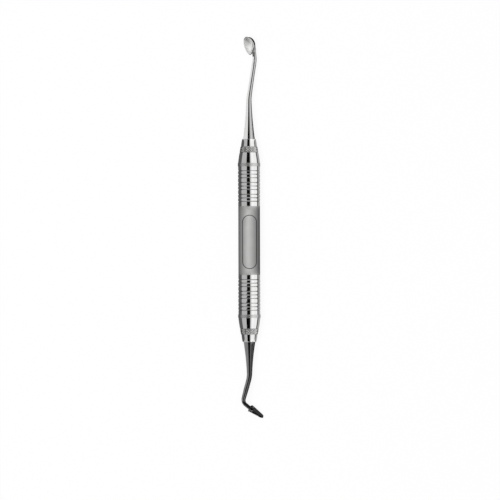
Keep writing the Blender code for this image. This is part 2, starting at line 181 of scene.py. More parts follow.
world = bpy.data.worlds.new("room")
bpy.context.scene.world = world
world.use_nodes = True
tree = world.node_tree
tree.nodes.clear()
way = add_node(tree, "ShaderNodeTexCoord").outputs["Generated"]
parts = add_node(tree, "ShaderNodeSeparateXYZ", {0: way})
angle = degrees_about_x(tree, parts)
reach = spread(tree, maths(tree, "ABSOLUTE", parts.outputs["X"]), 1.0, 0.0, *STRIP_REACH)
strip = maths(tree, "MULTIPLY", grey_ramp(tree, angle, STRIP_BANDS), reach)
boxes = grey_ramp(tree, angle, ROOM_BANDS)
glow = add_node(tree, "ShaderNodeMix", {0: strip, 6: boxes, 7: STRIP_BLACK}, data_type="RGBA")
soft_boxes = add_node(tree, "ShaderNodeBackground", {"Color": glow.outputs[2]})
ambient = add_node(tree, "ShaderNodeBackground", {"Color": (1.0, 1.0, 1.0, 1.0), "Strength": ROOM_AMBIENT})
backdrop = add_node(tree, "ShaderNodeBackground", {"Color": (1.0, 1.0, 1.0, 1.0), "Strength": 1.0})
rays = add_node(tree, "ShaderNodeLightPath")
lit = add_node(
    tree,
    "ShaderNodeMixShader",
    {0: rays.outputs["Is Glossy Ray"], 1: ambient.outputs[0], 2: soft_boxes.outputs[0]},
)
seen = add_node(
    tree,
    "ShaderNodeMixShader",
    {0: rays.outputs["Is Camera Ray"], 1: lit.outputs[0], 2: backdrop.outputs[0]},
)
add_node(tree, "ShaderNodeOutputWorld", {"Surface": seen.outputs[0]})

# Lamp: one wide soft box overhead lights the floor and the blasted steel, and doesn't show in the polish.
LAMP_SIDE = 0.8
LAMP_HEIGHT = 1.2
LAMP_LEAN = math.radians(6.0)
LAMP_WATTS = 11.6
lamp_place = Vector((0.0, math.sin(LAMP_LEAN), math.cos(LAMP_LEAN))) * LAMP_HEIGHT
bpy.ops.object.light_add(type="AREA", location=lamp_place, rotation=(-LAMP_LEAN, 0.0, 0.0))
lamp = bpy.context.object
lamp.data.size = LAMP_SIDE
lamp.data.energy = LAMP_WATTS
lamp.visible_camera = False
lamp.visible_glossy = False

# Reflectors round the handle: a tube of card that only its polish sees, flattened where it would pass under
# the floor. Overhead it is tinted film, through which the room shows dimmer on one side and brighter on the
# other. Over the blasted band the card has softer stripes of its own.
REFLECTOR_RADIUS = 9.0 * MM
REFLECTOR_END = 0.05 * MM
REFLECTOR_LIFT = 0.2 * MM
REFLECTOR_EYE = 3.1 * MM
REFLECTOR_SIDES = 128
FILM_BANDS = ((-180, 0), (-69, 0), (-63, 0.62), (-8, 0.62), (-4, 1.36), (36, 1.36), (40, 0), (180, 0))
CARD_BANDS = (
    (-180, 0.13),
    (-69, 0.13),
    (-63, 0),
    (6, 0),
    (9, 0.45),
    (18, 0.42),
    (36, 0.16),
    (40, 1.22),
    (71, 1.22),
    (73, 0.07),
    (84, 0.07),
    (88, 0.5),
    (180, 0.5),
)
BLASTED_BANDS = (
    (-180, 0.1),
    (-100, 0.2),
    (-50, 0.53),
    (-12, 0.98),
    (-4, 0.98),
    (40, 0.53),
    (90, 0.14),
    (180, 0.1),
)
BLASTED_HALF = 15.05 * MM


def select_faces(piece, wanted):
    """In edit mode, select only the faces for which wanted says yes."""
    shape = bmesh.from_edit_mesh(piece.data)
    bpy.ops.mesh.select_all(action="DESELECT")
    for face in shape.faces:
        face.select = wanted(face)
    bmesh.update_edit_mesh(piece.data)


def for_polish_only(piece, paint):
    """Paints a card, and hides it from all but the rays that leave a glossy surface."""
    paint.cycles.emission_sampling = "NONE"
    piece.data.materials.append(paint)
    piece.visible_camera = False
    piece.visible_diffuse = False
    piece.visible_shadow = False
    piece.visible_transmission = False


handle_length = handle_high.x - handle_low.x
bpy.ops.object.select_all(action="DESELECT")
bpy.ops.mesh.primitive_cylinder_add(
    vertices=REFLECTOR_SIDES,
    radius=REFLECTOR_RADIUS,
    depth=handle_length + 2 * REFLECTOR_END,
    end_fill_type="NGON",
    location=HANDLE_MIDDLE,
    rotation=(0.0, math.pi / 2, 0.0),
)
reflectors = bpy.context.object
reflectors.name = "reflectors"
bpy.ops.object.transform_apply(location=True, rotation=True, scale=True)
bpy.ops.object.mode_set(mode="EDIT")
select_faces(reflectors, lambda face: len(face.verts) > 4)
bpy.ops.mesh.inset(thickness=REFLECTOR_RADIUS - REFLECTOR_EYE)
bpy.ops.mesh.delete(type="FACE")
bpy.ops.object.mode_set(mode="OBJECT")
for vert in reflectors.data.vertices:
    vert.co.z = max(vert.co.z, REFLECTOR_LIFT)
reflector_card, tree, output = new_material("reflector_card")
place = add_node(tree, "ShaderNodeTexCoord").outputs["Object"]
place = add_node(tree, "ShaderNodeVectorMath", {0: place, 1: HANDLE_MIDDLE}, operation="SUBTRACT").outputs[0]
parts = add_node(tree, "ShaderNodeSeparateXYZ", {0: place})
angle = degrees_about_x(tree, parts)
film = add_node(tree, "ShaderNodeBsdfTransparent", {"Color": grey_ramp(tree, angle, FILM_BANDS)})
card = add_node(tree, "ShaderNodeEmission", {"Color": grey_ramp(tree, angle, CARD_BANDS)})
strips = add_node(tree, "ShaderNodeAddShader", {0: film.outputs[0], 1: card.outputs[0]})
soft_card = add_node(tree, "ShaderNodeEmission", {"Color": grey_ramp(tree, angle, BLASTED_BANDS)})
over_band = maths(tree, "LESS_THAN", maths(tree, "ABSOLUTE", parts.outputs["X"]), BLASTED_HALF)
strips = add_node(tree, "ShaderNodeMixShader", {0: over_band, 1: strips.outputs[0], 2: soft_card.outputs[0]})
tree.links.new(strips.outputs[0], output.inputs["Surface"])
for_polish_only(reflectors, reflector_card)

# Dark card: it lies on the floor on the right, and draws the dark line down that side of the shanks.
DARK_CARD_NEAR = 2.5 * MM
DARK_CARD_FAR = 45.0 * MM
DARK_CARD_END = 71.5 * MM
DARK_CARD_GREY = 0.07


def grey_paint(name, brightness):
    """Paint that polish shows at one brightness."""
    paint, tree, output = new_material(name)
    grey = add_node(tree, "ShaderNodeEmission", {"Strength": brightness})
    tree.links.new(grey.outputs[0], output.inputs["Surface"])
    return paint


def add_sheet(name, x_low, x_high, y_low, y_high, height):
    """A flat sheet of card or film."""
    bpy.ops.object.select_all(action="DESELECT")
    bpy.ops.mesh.primitive_plane_add(size=1.0)
    sheet = bpy.context.object
    sheet.name = name
    sheet.scale = (x_high - x_low, y_high - y_low, 1.0)
    sheet.location = ((x_high + x_low) / 2, (y_high + y_low) / 2, height)
    bpy.ops.object.transform_apply(location=True, rotation=True, scale=True)
    return sheet


dark_card = add_sheet(
    "dark_card",
    cad_low.x,
    DARK_CARD_END,
    HANDLE_MIDDLE.y - DARK_CARD_FAR,
    HANDLE_MIDDLE.y - DARK_CARD_NEAR,
    REFLECTOR_LIFT / 2,
)
for_polish_only(dark_card, grey_paint("grey_card", DARK_CARD_GREY))

# Tent: a white box, open below, stands over the spoon's bowl and lights its hollow. Its cloth is dimmer
# towards the right and towards the handle. Places are in millimetres, here and for the cards below.
TENT_LOW = (77.0, -9.0, 8.5)
TENT_HIGH = (93.0, 13.0, 17.0)
TENT_ACROSS = ((-9.0, 0.8), (-4.0, 0.9), (3.0, 1.15), (13.0, 1.25))
TENT_ALONG = ((77.0, 0.6), (80.0, 0.9), (83.0, 1.05), (93.0, 1.05))
CARD_THICKNESS = 0.05 * MM


def add_board(name, low, high):
    """A board or box of card between two corners."""
    low, high = Vector(low) * MM, Vector(high) * MM
    bpy.ops.object.select_all(action="DESELECT")
    bpy.ops.mesh.primitive_cube_add(size=1.0)
    board = bpy.context.object
    board.name = name
    board.scale = [max(size, CARD_THICKNESS) for size in high - low]
    board.location = (high + low) / 2
    bpy.ops.object.transform_apply(location=True, rotation=True, scale=True)
    return board


def place_along(tree, axis):
    """An object coordinate in millimetres."""
    place = add_node(tree, "ShaderNodeTexCoord").outputs["Object"]
    parts = add_node(tree, "ShaderNodeSeparateXYZ", {0: place})
    return maths(tree, "MULTIPLY", parts.outputs[axis], 1 / MM)


tent = add_board("tent", TENT_LOW, TENT_HIGH)
bpy.ops.object.mode_set(mode="EDIT")
select_faces(tent, lambda face: face.normal.z < -0.5)
bpy.ops.mesh.delete(type="FACE")
bpy.ops.object.mode_set(mode="OBJECT")
tent_cloth, tree, output = new_material("tent_cloth")
across = grey_ramp(tree, place_along(tree, "Y"), TENT_ACROSS)
along = grey_ramp(tree, place_along(tree, "X"), TENT_ALONG)
white = add_node(tree, "ShaderNodeEmission", {"Color": across, "Strength": along})
tree.links.new(white.outputs[0], output.inputs["Surface"])
for_polish_only(tent, tent_cloth)

# Black and grey cards: two strips hang over the shanks. The others lie on the floor beside the bowl and the
# file's head, stand by the bowl's root and on its left, and hang over the head. They keep these places dark.
BLACK_CARDS = (
    ("spoon_strip", (40.0, -12.5, 60.0), (88.0, 28.0, 60.0), 0.004),
    ("file_strip", (-78.0, -7.0, 60.0), (-40.0, 34.0, 60.0), 0.004),
    ("bowl_side", (71.5, -26.0, 0.3), (80.7, -1.5, 0.3), 0.33),
    ("root_side", (74.9, 0.3, 0.3), (76.1, 0.3, 5.6), 0.01),
    ("bowl_floor", (80.7, -26.0, 0.3), (104.0, -1.0, 0.3), 0.01),
    ("bowl_left", (81.0, 8.0, 0.3), (93.0, 8.0, 11.0), 0.22),
    ("head_floor", (-97.0, -18.0, 0.3), (-75.5, 9.0, 0.3), 0.03),
    ("heel_floor", (-75.5, 3.5, 0.3), (-69.0, 16.0, 0.3), 0.06),
    ("head_roof", (-97.0, -18.0, 10.0), (-77.0, 12.0, 10.0), 0.05),
)
for card_name, near, far, brightness in BLACK_CARDS:
    for_polish_only(add_board(card_name, near, far), grey_paint(card_name, brightness))

# Gate: a black card over the neck. It is painted on one side, so that it darkens the tip of the bowl's
# hollow and not the neck.
GATE_MIDDLE = (75.2 * MM, 3.0 * MM, 6.4 * MM)
GATE_HEIGHT = 4.4 * MM
GATE_WIDTH = 12.0 * MM
GATE_BLACK = 0.01
bpy.ops.object.select_all(action="DESELECT")
bpy.ops.mesh.primitive_plane_add(size=1.0, location=GATE_MIDDLE, rotation=(0.0, math.pi / 2, 0.0))
gate = bpy.context.object
gate.name = "gate"
gate.scale = (GATE_HEIGHT, GATE_WIDTH, 1.0)
bpy.ops.object.transform_apply(location=True, rotation=True, scale=True)
one_sided, tree, output = new_material("one_sided_card")
side = add_node(tree, "ShaderNodeNewGeometry").outputs["Backfacing"]
black = add_node(tree, "ShaderNodeEmission", {"Strength": GATE_BLACK})
clear = add_node(tree, "ShaderNodeBsdfTransparent")
card = add_node(tree, "ShaderNodeMixShader", {0: side, 1: black.outputs[0], 2: clear.outputs[0]})
tree.links.new(card.outputs[0], output.inputs["Surface"])
for_polish_only(gate, one_sided)

# Head wall: a curved grey card stands on the floor round the file's head, and keeps the head dark.
HEAD_WALL_PLACE = (-79.5 * MM, -2.0 * MM, 4.5 * MM)
HEAD_WALL_RADIUS = 12.0 * MM
HEAD_WALL_HEIGHT = 8.6 * MM
HEAD_WALL_SIDES = 96
HEAD_WALL_FROM = math.radians(-178)
HEAD_WALL_TO = math.radians(-50)
HEAD_WALL_GREY = 0.18
bpy.ops.object.select_all(action="DESELECT")
bpy.ops.mesh.primitive_cylinder_add(
    vertices=HEAD_WALL_SIDES,
    radius=HEAD_WALL_RADIUS,
    depth=HEAD_WALL_HEIGHT,
    end_fill_type="NOTHING",
)
head_wall = bpy.context.object
head_wall.name = "head_wall"


def off_head_wall(face):
    """Yes for a face that lies outside the wall's part of its circle."""
    centre = face.calc_center_median()
    return not HEAD_WALL_FROM < math.atan2(centre.y, centre.x) < HEAD_WALL_TO


bpy.ops.object.mode_set(mode="EDIT")
select_faces(head_wall, off_head_wall)
bpy.ops.mesh.delete(type="FACE")
bpy.ops.object.mode_set(mode="OBJECT")
head_wall.location = HEAD_WALL_PLACE
bpy.ops.object.transform_apply(location=True, rotation=True, scale=True)
for_polish_only(head_wall, grey_paint("wall_card", HEAD_WALL_GREY))

# Shade film: it hangs over the file shank's right side and dims the room there, more and more to the right.
# Each stop gives a distance to the right in millimetres, and the share of the light that comes through.
SHADE_Z = 12.0 * MM
SHADE_NEAR_Y = -3.0 * MM
SHADE_FAR_Y = -63.0 * MM
SHADE_FROM_X = -53.0 * MM
SHADE_TO_X = -78.0 * MM
SHADE_STOPS = ((3.0, 0.75), (5.0, 0.5), (10.0, 0.28), (30.0, 0.15), (63.0, 0.1))
shade_film = add_sheet("shade_film", SHADE_TO_X, SHADE_FROM_X, SHADE_FAR_Y, SHADE_NEAR_Y, SHADE_Z)
tinted_film, tree, output = new_material("tinted_film")
aside = maths(tree, "MULTIPLY", place_along(tree, "Y"), -1.0)
film = add_node(tree, "ShaderNodeBsdfTransparent", {"Color": grey_ramp(tree, aside, SHADE_STOPS)})
tree.links.new(film.outputs[0], output.inputs["Surface"])
for_polish_only(shade_film, tinted_film)

# Handle: one turned steel tube, 9.5 mm over the grip, with a blasted band in the middle, beads and grooves on
# both sides of it, and at each end a collar, a cone, a diamond knurl and a muzzle that holds a shank.
WELD = 1e-7
HAIR = 1e-6
LATHE_STEPS = 144
HALF_LENGTH = handle_length / 2
GRIP_RADIUS = 4.75 * MM
COLLAR_RADIUS = HANDLE_MIDDLE.z
BORE_RADIUS = 3.75 * MM
SOCKET_RADIUS = 2.4 * MM
SOCKET_LENGTH = 12.5 * MM
FIT = 0.3 * MM
MUZZLE_LENGTH = 3.2 * MM
KNURL_WIDTH = 2.75 * MM
CONE_LENGTH = 4.61 * MM
COLLAR_WIDTH = 1.42 * MM
LAND_WIDTH = 1.79 * MM
BAND_LAND_WIDTH = 1.86 * MM
GROOVE_PITCH = 1.55 * MM
GROOVE_DEPTH = 0.24 * MM
GROOVE_FLOOR = 0.16 * MM
GROOVE_FLANK = 0.14 * MM
BEAD_PROUD = 0.07 * MM
LAND_PROUD = 0.06 * MM
BEAD_ROWS = 11
GROUP_COUNT = 3
CONE_END_RADIUS = 4.12 * MM
CONE_SWELL = 0.05 * MM
CONE_ROWS = 10
KNURL_BIG_RADIUS = 4.15 * MM
KNURL_SMALL_RADIUS = 3.71 * MM
KNURL_DEPTH = 0.26 * MM
KNURL_HALF = 4
KNURL_FLAT = 1
KNURL_ROWS = 5 * KNURL_HALF
MUZZLE_BIG_RADIUS = 3.48 * MM
MUZZLE_SWELL = 0.06 * MM
MUZZLE_ROWS = 8
MOUTH_RADIUS = 2.88 * MM
EDGE_ROUND = 0.12 * MM
HANDLE_SMOOTH = math.radians(30)

knurl_out = HALF_LENGTH - MUZZLE_LENGTH
knurl_in = knurl_out - KNURL_WIDTH
collar_out = knurl_in - CONE_LENGTH
collar_in = collar_out - COLLAR_WIDTH
group_half = GROOVE_PITCH + GROOVE_FLANK
group_pitch = 2 * group_half + LAND_WIDTH
first_group = collar_in - LAND_WIDTH - group_half - (GROUP_COUNT - 1) * group_pitch
band_half = first_group - group_half - BAND_LAND_WIDTH


def between(start, end, share):
    """The value that lies a share of the way from start to end."""
    return start + (end - start) * share


def arc_rows(start, end, foot, crest, count):
    """A low round crest between two places, as rows of (place, radius)."""
    rows = []
    for index in range(count):
        turn = math.radians(between(-80, 80, index / (count - 1)))
        place = between(start, end, (math.sin(turn) + 1) / 2)
        rows.append((place, foot + (crest - foot) * math.sqrt(math.cos(turn))))
    return rows


def rounded_rows(start, end, radius, proud, round_off):
    """A land with rounded edges and a slightly swollen middle."""
    rows = []
    for degrees in (0, 30, 60, 90):
        turn = math.radians(degrees)
        rows.append((start + round_off * (1 - math.cos(turn)), radius - round_off * (1 - math.sin(turn))))
    for share in (0.25, 0.4, 0.5, 0.6, 0.75):
        rows.append((between(start, end, share), radius + proud * math.sin(math.pi * share)))
    for degrees in (90, 60, 30, 0):
        turn = math.radians(degrees)
        rows.append((end - round_off * (1 - math.cos(turn)), radius - round_off * (1 - math.sin(turn))))
    return rows


def group_rows(centre):
    """Three grooves with two beads between them."""
    floor_radius = GRIP_RADIUS - GROOVE_DEPTH
    bead_width = GROOVE_PITCH - GROOVE_FLOOR
    rows = []
    for index in (-1, 0, 1):
        groove = centre + index * GROOVE_PITCH
        rows += [(groove - GROOVE_FLOOR / 2, floor_radius), (groove + GROOVE_FLOOR / 2, floor_radius)]
        if index < 1:
            start = groove + GROOVE_FLOOR / 2
            rows += arc_rows(start, start + bead_width, floor_radius, GRIP_RADIUS + BEAD_PROUD, BEAD_ROWS)
    return rows


def handle_rows():
    """The handle's half profile, from the middle of the band to the mouth and back through the bore."""
    small = EDGE_ROUND / 2
    rows = [(0.0, GRIP_RADIUS), (band_half, GRIP_RADIUS)]
    for index in range(GROUP_COUNT):
        centre = first_group + index * group_pitch
        if index == 0:
            rows += [(centre - group_half, GRIP_RADIUS)]
        rows += group_rows(centre)
        if index < GROUP_COUNT - 1:
            land = centre + group_half
            rows += rounded_rows(land, land + LAND_WIDTH, GRIP_RADIUS, LAND_PROUD, small)
    rows += [(collar_in - LAND_WIDTH, GRIP_RADIUS), (collar_in, GRIP_RADIUS)]
    rows += rounded_rows(collar_in, collar_out, COLLAR_RADIUS, 0.0, EDGE_ROUND)
    for index in range(1, CONE_ROWS + 1):
        share = index / CONE_ROWS
        swell = CONE_SWELL * math.sin(math.pi * share)
        radius = between(COLLAR_RADIUS - EDGE_ROUND, CONE_END_RADIUS, share) + swell
        rows.append((between(collar_out, knurl_in, share), radius))
    for index in range(KNURL_ROWS + 1):
        share = index / KNURL_ROWS
        radius = between(KNURL_BIG_RADIUS, KNURL_SMALL_RADIUS, share)
        rows.append((between(knurl_in, knurl_out, share), radius))
    for index in range(MUZZLE_ROWS + 1):
        share = index / MUZZLE_ROWS
        swell = MUZZLE_SWELL * math.sin(math.pi * share)
        radius = between(MUZZLE_BIG_RADIUS, MOUTH_RADIUS + EDGE_ROUND, share) + swell
        rows.append((between(knurl_out, HALF_LENGTH - EDGE_ROUND, share), radius))
    for degrees in (30, 60, 90):
        turn = math.radians(degrees)
        place = HALF_LENGTH - EDGE_ROUND * (1 - math.sin(turn))
        rows.append((place, MOUTH_RADIUS + EDGE_ROUND * math.cos(turn)))
    socket_end = HALF_LENGTH - SOCKET_LENGTH
    rows += [
        (HALF_LENGTH, SOCKET_RADIUS),
        (socket_end, SOCKET_RADIUS),
        (socket_end - (BORE_RADIUS - SOCKET_RADIUS), BORE_RADIUS),
        (0.0, BORE_RADIUS),
    ]
    return rows


def new_piece(name):
    """Names the object just added, and its mesh."""
    piece = bpy.context.object
    piece.name = name
    piece.data.name = name
    return piece


def select_verts(piece, wanted):
    """In edit mode, select only the points for which wanted says yes."""
    shape = bmesh.from_edit_mesh(piece.data)
    bpy.ops.mesh.select_all(action="DESELECT")
    for vert in shape.verts:
        if wanted(vert.co):
            vert.select = True
    shape.select_flush(True)
    bmesh.update_edit_mesh(piece.data)


def draw_line(points):
    """In edit mode, pulls the small plane just added together and draws a line through the points from it."""
    bpy.ops.mesh.merge(type="CENTER")
    bpy.ops.transform.translate(value=points[0])
    for start, end in zip(points, points[1:]):
        if (end - start).length > WELD:
            bpy.ops.mesh.extrude_region_move(TRANSFORM_OT_translate={"value": end - start})
    bpy.ops.mesh.select_all(action="SELECT")


def finish_solid():
    """Turns all faces of the piece being edited outwards, and leaves edit mode."""
    bpy.ops.mesh.select_all(action="SELECT")
    bpy.ops.mesh.normals_make_consistent(inside=False)
    bpy.ops.object.mode_set(mode="OBJECT")


def settle(piece, turn=0.0):
    """Turns a piece about the handle's axis, moves it to its place and leaves that place in its mesh."""
    bpy.ops.object.select_all(action="DESELECT")
    piece.select_set(True)
    bpy.context.view_layer.objects.active = piece
    piece.rotation_euler.x = turn
    piece.location = HANDLE_MIDDLE
    bpy.ops.object.transform_apply(location=True, rotation=True, scale=True)


def new_group(name, inputs, outputs):
    """An empty node group with named sockets, and its two ends."""
    group = bpy.data.node_groups.new(name, "ShaderNodeTree")
    for label, kind, value in inputs:
        socket = group.interface.new_socket(label, in_out="INPUT", socket_type=kind)
        socket.default_value = value
    for label, kind in outputs:
        group.interface.new_socket(label, in_out="OUTPUT", socket_type=kind)
    return group, group.nodes.new("NodeGroupInput"), group.nodes.new("NodeGroupOutput")


def use_group(tree, group, values):
    """A node that runs a group on the values given."""
    return add_node(tree, "ShaderNodeGroup", values, node_tree=group)


def place_on(tree, middle):
    """Object coordinates in millimetres, counted from a piece's own middle."""
    place = add_node(tree, "ShaderNodeTexCoord").outputs["Object"]
    place = add_node(tree, "ShaderNodeVectorMath", {0: place, 1: middle}, operation="SUBTRACT").outputs[0]
    return add_node(tree, "ShaderNodeVectorMath", {0: place, "Scale": 1 / MM}, operation="SCALE").outputs[0]


# Lathe marks: fine rings round the handle's axis, as uneven as a tool leaves them
lathe_marks, ends_in, ends_out = new_group(
    "lathe_marks",
    (("Place", "NodeSocketVector", (0.0, 0.0, 0.0)), ("Rings per mm", "NodeSocketFloat", 6.0)),
    (("Height", "NodeSocketFloat"),),
)
stretched = add_node(
    lathe_marks,
    "ShaderNodeVectorMath",
    {0: ends_in.outputs["Place"], 1: (1.0, 0.05, 0.05)},
    operation="MULTIPLY",
).outputs[0]
rings = add_node(lathe_marks, "ShaderNodeTexNoise", {"Vector": stretched, "Detail": 4.0, "Roughness": 0.7})
lathe_marks.links.new(ends_in.outputs["Rings per mm"], rings.inputs["Scale"])
lathe_marks.links.new(rings.outputs["Fac"], ends_out.inputs["Height"])

# Handling: faint, soft patches where polish has been touched and wiped
handling, ends_in, ends_out = new_group(
    "handling",
    (("Place", "NodeSocketVector", (0.0, 0.0, 0.0)), ("Patch per mm", "NodeSocketFloat", 0.25)),
    (("Patch", "NodeSocketFloat"),),
)
patches = add_node(handling, "ShaderNodeTexNoise", {"Vector": ends_in.outputs["Place"], "Detail": 3.0})
handling.links.new(ends_in.outputs["Patch per mm"], patches.inputs["Scale"])
spread_patches = spread(handling, patches.outputs["Fac"], 0.0, 1.0, 0.3, 0.7)
handling.links.new(spread_patches, ends_out.inputs["Patch"])

# Blasting: the fine even grain that glass beads leave
blasting, ends_in, ends_out = new_group(
    "blasting",
    (("Place", "NodeSocketVector", (0.0, 0.0, 0.0)), ("Grain per mm", "NodeSocketFloat", 9.0)),
    (("Grain", "NodeSocketFloat"),),
)
grain = add_node(blasting, "ShaderNodeTexNoise", {"Vector": ends_in.outputs["Place"], "Detail": 2.0})
blasting.links.new(ends_in.outputs["Grain per mm"], grain.inputs["Scale"])
blasting.links.new(grain.outputs["Fac"], ends_out.inputs["Grain"])


def finish_surface(tree, output, color, roughness, height, strength):
    """The Principled shader of a metal's finish, with its relief."""
    shader = add_node(tree, "ShaderNodeBsdfPrincipled", {"Base Color": color, "Roughness": roughness})
    shader.inputs["Metallic"].default_value = 1.0
    bump = add_node(tree, "ShaderNodeBump", {"Height": height, "Strength": strength, "Distance": RELIEF})
    tree.links.new(bump.outputs["Normal"], shader.inputs["Normal"])
    tree.links.new(shader.outputs[0], output.inputs["Surface"])


def mixed_color(tree, share, first, second):
    """Goes from the first colour, plain or a link, to the second as share goes from 0 to 1."""
    if not isinstance(first, bpy.types.NodeSocket):
        first = (*first, 1.0)
    mix = add_node(tree, "ShaderNodeMix", {0: share, 6: first, 7: (*second, 1.0)}, data_type="RGBA")
    return mix.outputs[2]


RELIEF = 0.01 * MM
POLISH_COLOR = (0.71, 0.71, 0.705)
POLISH_DARK = (0.66, 0.66, 0.655)
POLISH_ROUGHNESS = (0.035, 0.07)
SATIN_COLOR = (0.59, 0.59, 0.585)
SATIN_DARK = (0.51, 0.51, 0.505)
SATIN_ROUGHNESS = (0.38, 0.46)
# Painted shade: the next colour darkens the bottoms of the grip's grooves. The roughness after it is their
# real dullness.
GROOVE_PAINTED_SHADE = (0.30, 0.30, 0.30)
RECESS_ROUGHER = 0.3
RECESS_TOP = 0.04 * MM
KNURL_COLOR = (0.50, 0.50, 0.495)
KNURL_DARK = (0.44, 0.44, 0.435)
KNURL_ROUGHNESS = (0.14, 0.20)


def make_knurled(name, middle):
    """Steel pressed into diamonds by a knurling wheel, which the buff only reaches on top."""
    material, tree, output = new_material(name)
    place = place_on(tree, middle)
    patch = use_group(tree, handling, {"Place": place, "Patch per mm": 1.5}).outputs["Patch"]
    grain = use_group(tree, blasting, {"Place": place}).outputs["Grain"]
    color = mixed_color(tree, patch, KNURL_COLOR, KNURL_DARK)
    finish_surface(tree, output, color, spread(tree, patch, *KNURL_ROUGHNESS), grain, 0.1)
    return material


def make_polish(name, middle, grooves=False):
    """Bright turned steel. In the grooves the buff never reaches the bottom, which stays dull and rougher,
    and painted shade makes it darker.
    """
    material, tree, output = new_material(name)
    place = place_on(tree, middle)
    patch = use_group(tree, handling, {"Place": place}).outputs["Patch"]
    rings = use_group(tree, lathe_marks, {"Place": place}).outputs["Height"]
    color = mixed_color(tree, patch, POLISH_COLOR, POLISH_DARK)
    roughness = spread(tree, patch, *POLISH_ROUGHNESS)
    if grooves:
        apart = add_node(tree, "ShaderNodeSeparateXYZ", {0: place})
        depth = add_node(tree, "ShaderNodeCombineXYZ", {1: apart.outputs["Y"], 2: apart.outputs["Z"]})
        length = add_node(tree, "ShaderNodeVectorMath", {0: depth.outputs[0]}, operation="LENGTH")
        radius = length.outputs["Value"]
        inside = maths(tree, "LESS_THAN", maths(tree, "ABSOLUTE", apart.outputs["X"]), collar_in / MM)
        lowest, highest = (GRIP_RADIUS - GROOVE_DEPTH) / MM, (GRIP_RADIUS - RECESS_TOP) / MM
        bottom = maths(tree, "MULTIPLY", spread(tree, radius, 1.0, 0.0, lowest, highest), inside)
        # Painted shade: the colour goes darker towards the groove bottoms, where the grooves would be in
        # shade.
        color = mixed_color(tree, bottom, color, GROOVE_PAINTED_SHADE)
        roughness = maths(tree, "MULTIPLY_ADD", bottom, RECESS_ROUGHER, roughness)
    finish_surface(tree, output, color, roughness, rings, 0.08)
    return material


# The mark on the band: one plain line, etched by laser along a frame with round ends, with nothing inside
MARK_PLACE = Vector((-0.63, -0.15, 0.0))
MARK_STRAIGHT = 8.64
MARK_RADIUS = 3.03
MARK_LINE = 0.17
MARK_SOFT = 0.06
MARK_COLOR = (0.10, 0.10, 0.10)
MARK_ROUGHER = 0.25


def mark_line(tree, place):
    """1 on the etched line, 0 off it. Sizes here are in millimetres."""
    place = add_node(tree, "ShaderNodeVectorMath", {0: place, 1: MARK_PLACE}, operation="SUBTRACT").outputs[0]
    apart = add_node(tree, "ShaderNodeSeparateXYZ", {0: place})
    past_straight = maths(tree, "SUBTRACT", maths(tree, "ABSOLUTE", apart.outputs["X"]), MARK_STRAIGHT)
    past_straight = maths(tree, "MAXIMUM", past_straight, 0.0)
    flat = add_node(tree, "ShaderNodeCombineXYZ", {0: past_straight, 1: apart.outputs["Y"]})
    reach = add_node(tree, "ShaderNodeVectorMath", {0: flat.outputs[0]}, operation="LENGTH").outputs["Value"]
    off_line = maths(tree, "ABSOLUTE", maths(tree, "SUBTRACT", reach, MARK_RADIUS))
    line = spread(tree, off_line, 1.0, 0.0, MARK_LINE - MARK_SOFT, MARK_LINE + MARK_SOFT)
    return maths(tree, "MULTIPLY", line, maths(tree, "GREATER_THAN", apart.outputs["Z"], 0.0))


def make_satin(name, middle):
    """Steel blasted with glass beads after turning, with the etched mark."""
    material, tree, output = new_material(name)
    place = place_on(tree, middle)
    grain = use_group(tree, blasting, {"Place": place}).outputs["Grain"]
    patch = use_group(tree, handling, {"Place": place}).outputs["Patch"]
    shade = maths(tree, "MULTIPLY_ADD", grain, 0.5, maths(tree, "MULTIPLY", patch, 0.5))
    line = mark_line(tree, place)
    color = mixed_color(tree, line, mixed_color(tree, shade, SATIN_COLOR, SATIN_DARK), MARK_COLOR)
    roughness = maths(tree, "MULTIPLY_ADD", line, MARK_ROUGHER, spread(tree, patch, *SATIN_ROUGHNESS))
    finish_surface(tree, output, color, roughness, grain, 0.25)
    return material


def paint_faces(piece, slot, wanted):
    """In edit mode, give a material slot to the faces for which wanted says yes."""
    select_faces(piece, wanted)
    piece.active_material_index = slot
    bpy.ops.object.material_slot_assign()


def is_blasted(face):
    """Yes for the band in the middle and for the collar."""
    place = face.calc_center_median().x
    return place < band_half or collar_in < place < collar_out


def is_knurled(face):
    """Yes for the outside of the knurl."""
    centre = face.calc_center_median()
    return knurl_in < centre.x < knurl_out and math.hypot(centre.y, centre.z) > SOCKET_RADIUS + FIT


bpy.ops.object.select_all(action="DESELECT")
bpy.ops.mesh.primitive_plane_add(size=1.0 * MM)
handle = new_piece("handle_tube")
handle.data.materials.append(make_polish("polished_handle", HANDLE_MIDDLE, grooves=True))
handle.data.materials.append(make_satin("blasted_band", HANDLE_MIDDLE))
handle.data.materials.append(make_knurled("knurled_ring", HANDLE_MIDDLE))
bpy.ops.object.mode_set(mode="EDIT")
draw_line([Vector((place, 0.0, radius)) for place, radius in handle_rows()])
bpy.ops.mesh.spin(steps=LATHE_STEPS, angle=math.tau, center=(0.0, 0.0, 0.0), axis=(1.0, 0.0, 0.0))
bpy.ops.mesh.select_all(action="SELECT")
bpy.ops.mesh.remove_doubles(threshold=WELD)

# The knurl's diamonds: points are drawn in towards the axis, the further they lie from a diamond's top
knurl_step = KNURL_WIDTH / KNURL_ROWS


